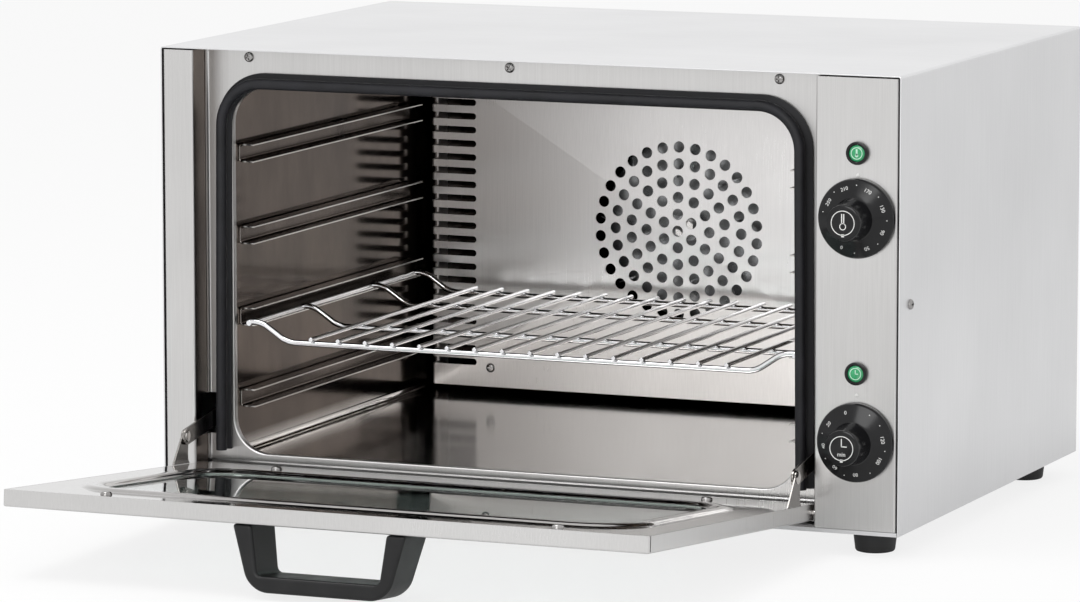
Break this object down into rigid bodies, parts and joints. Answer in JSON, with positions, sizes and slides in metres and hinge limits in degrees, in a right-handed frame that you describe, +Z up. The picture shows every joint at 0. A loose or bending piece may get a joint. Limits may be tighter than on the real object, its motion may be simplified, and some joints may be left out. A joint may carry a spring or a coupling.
{
  "type": "mini oven",
  "caption": "Countertop convection oven in sheet steel with a drop-down glass door on stay arms, a wire rack on rails, a fan behind a slotted baffle, and a thermostat and timer knob.",
  "frame": {"origin": "centre of the bounding box, on the table that the feet stand on, with the door open", "axes": "+Z up, +Y from the open door towards the back of the oven, +X towards the control panel on the right"},
  "size_m": [0.6, 0.7736, 0.357],
  "materials": {
    "brushed_steel": "vertical brushing, satin",
    "bright_steel": "bright annealed, nearly mirror-like",
    "cavity_steel": "bright annealed, darkened by use",
    "chrome_wire": "bright chrome on round wire",
    "silicone_rubber": "soft black silicone, satin",
    "black_plastic": "black, glossy",
    "satin_plastic": "black, satin",
    "door_glass": "clear tempered",
    "green_lens": "translucent green in a black ring",
    "copper_winding": "enamelled copper",
    "mineral_wool": "matt mineral wool",
    "white_moulding": "off-white, matt"
  },
  "bodies": {
    "housing": {"casing_cover": "brushed_steel", "base_tray": "brushed_steel", "left_post": "brushed_steel", "control_panel": "brushed_steel", "front_frame": "bright_steel", "door_gasket": "silicone_rubber", "cavity_liner": "cavity_steel", "rail_left_1": "cavity_steel", "rail_left_2": "cavity_steel", "rail_left_3": "cavity_steel", "rail_left_4": "cavity_steel", "rail_right_1": "cavity_steel", "rail_right_2": "cavity_steel", "rail_right_3": "cavity_steel", "rail_right_4": "cavity_steel", "fan_baffle": "brushed_steel", "heating_element": "bright_steel", "motor_bracket": "brushed_steel", "motor_stator": "bright_steel", "motor_coil": "copper_winding", "rear_panel": "brushed_steel", "motor_cover": "brushed_steel", "cable_gland": "black_plastic", "stay_guide_left": "brushed_steel", "stay_guide_right": "brushed_steel", "hinge_pin_left": "bright_steel", "hinge_pin_right": "bright_steel", "thermostat_body": "white_moulding", "timer_body": "white_moulding", "heat_lamp": "green_lens", "timer_lamp": "green_lens", "thermostat_probe": "copper_winding", "terminal_block": "white_moulding", "insulation_blanket": "mineral_wool", "foot_front_left": "silicone_rubber", "foot_front_right": "silicone_rubber", "foot_rear_left": "silicone_rubber", "foot_rear_right": "silicone_rubber"},
    "door": {"door_shell": "brushed_steel", "door_inner_panel": "bright_steel", "outer_glass": "door_glass", "inner_glass": "door_glass", "door_handle": "satin_plastic", "stay_bracket_left": "bright_steel", "stay_bracket_right": "bright_steel", "stay_rivet_left": "bright_steel", "stay_rivet_right": "bright_steel"},
    "stay_left": {"stay_arm_left": "bright_steel"},
    "stay_right": {"stay_arm_right": "bright_steel"},
    "fan": {"fan_impeller": "bright_steel", "impeller_nut": "bright_steel", "motor_shaft": "bright_steel", "motor_rotor": "bright_steel"},
    "thermostat": {"thermostat_knob": "black_plastic", "thermostat_spindle": "bright_steel"},
    "timer": {"timer_knob": "black_plastic", "timer_spindle": "bright_steel"},
    "rack": {"wire_rack": "chrome_wire"}
  },
  "joints": [
    {"name": "door_hinge", "type": "hinge", "parent": "housing", "child": "door", "pos_m": [-0.0195, -0.06195, 0.0305], "axis": [1, 0, 0], "range_deg": [-84.8, 0]},
    {"name": "stay_left_pivot", "type": "hinge", "parent": "door", "child": "stay_left", "pos_m": [-0.2676, -0.09081, 0.06099], "axis": [1, 0, 0], "range_deg": [0, 95.5]},
    {"name": "stay_right_pivot", "type": "hinge", "parent": "door", "child": "stay_right", "pos_m": [0.2286, -0.09081, 0.06099], "axis": [1, 0, 0], "range_deg": [0, 95.5]},
    {"name": "rack_slide", "type": "slide", "parent": "housing", "child": "rack", "axis": [0, -1, 0], "range_m": [0, 0.25]},
    {"name": "fan_spin", "type": "hinge", "parent": "housing", "child": "fan", "pos_m": [-0.0195, 0.3238, 0.185], "axis": [0, 1, 0], "continuous": true},
    {"name": "thermostat_turn", "type": "hinge", "parent": "housing", "child": "thermostat", "pos_m": [0.267, -0.0662, 0.2518], "axis": [0, 1, 0], "range_deg": [-205, 60]},
    {"name": "timer_turn", "type": "hinge", "parent": "housing", "child": "timer", "pos_m": [0.267, -0.0662, 0.086], "axis": [0, 1, 0], "range_deg": [0, 280]}
  ],
  "couplings": [
    {"joint": "stay_left_pivot", "follows": "door_hinge", "ratio": -1.125},
    {"joint": "stay_right_pivot", "follows": "door_hinge", "ratio": -1.125}
  ]
}
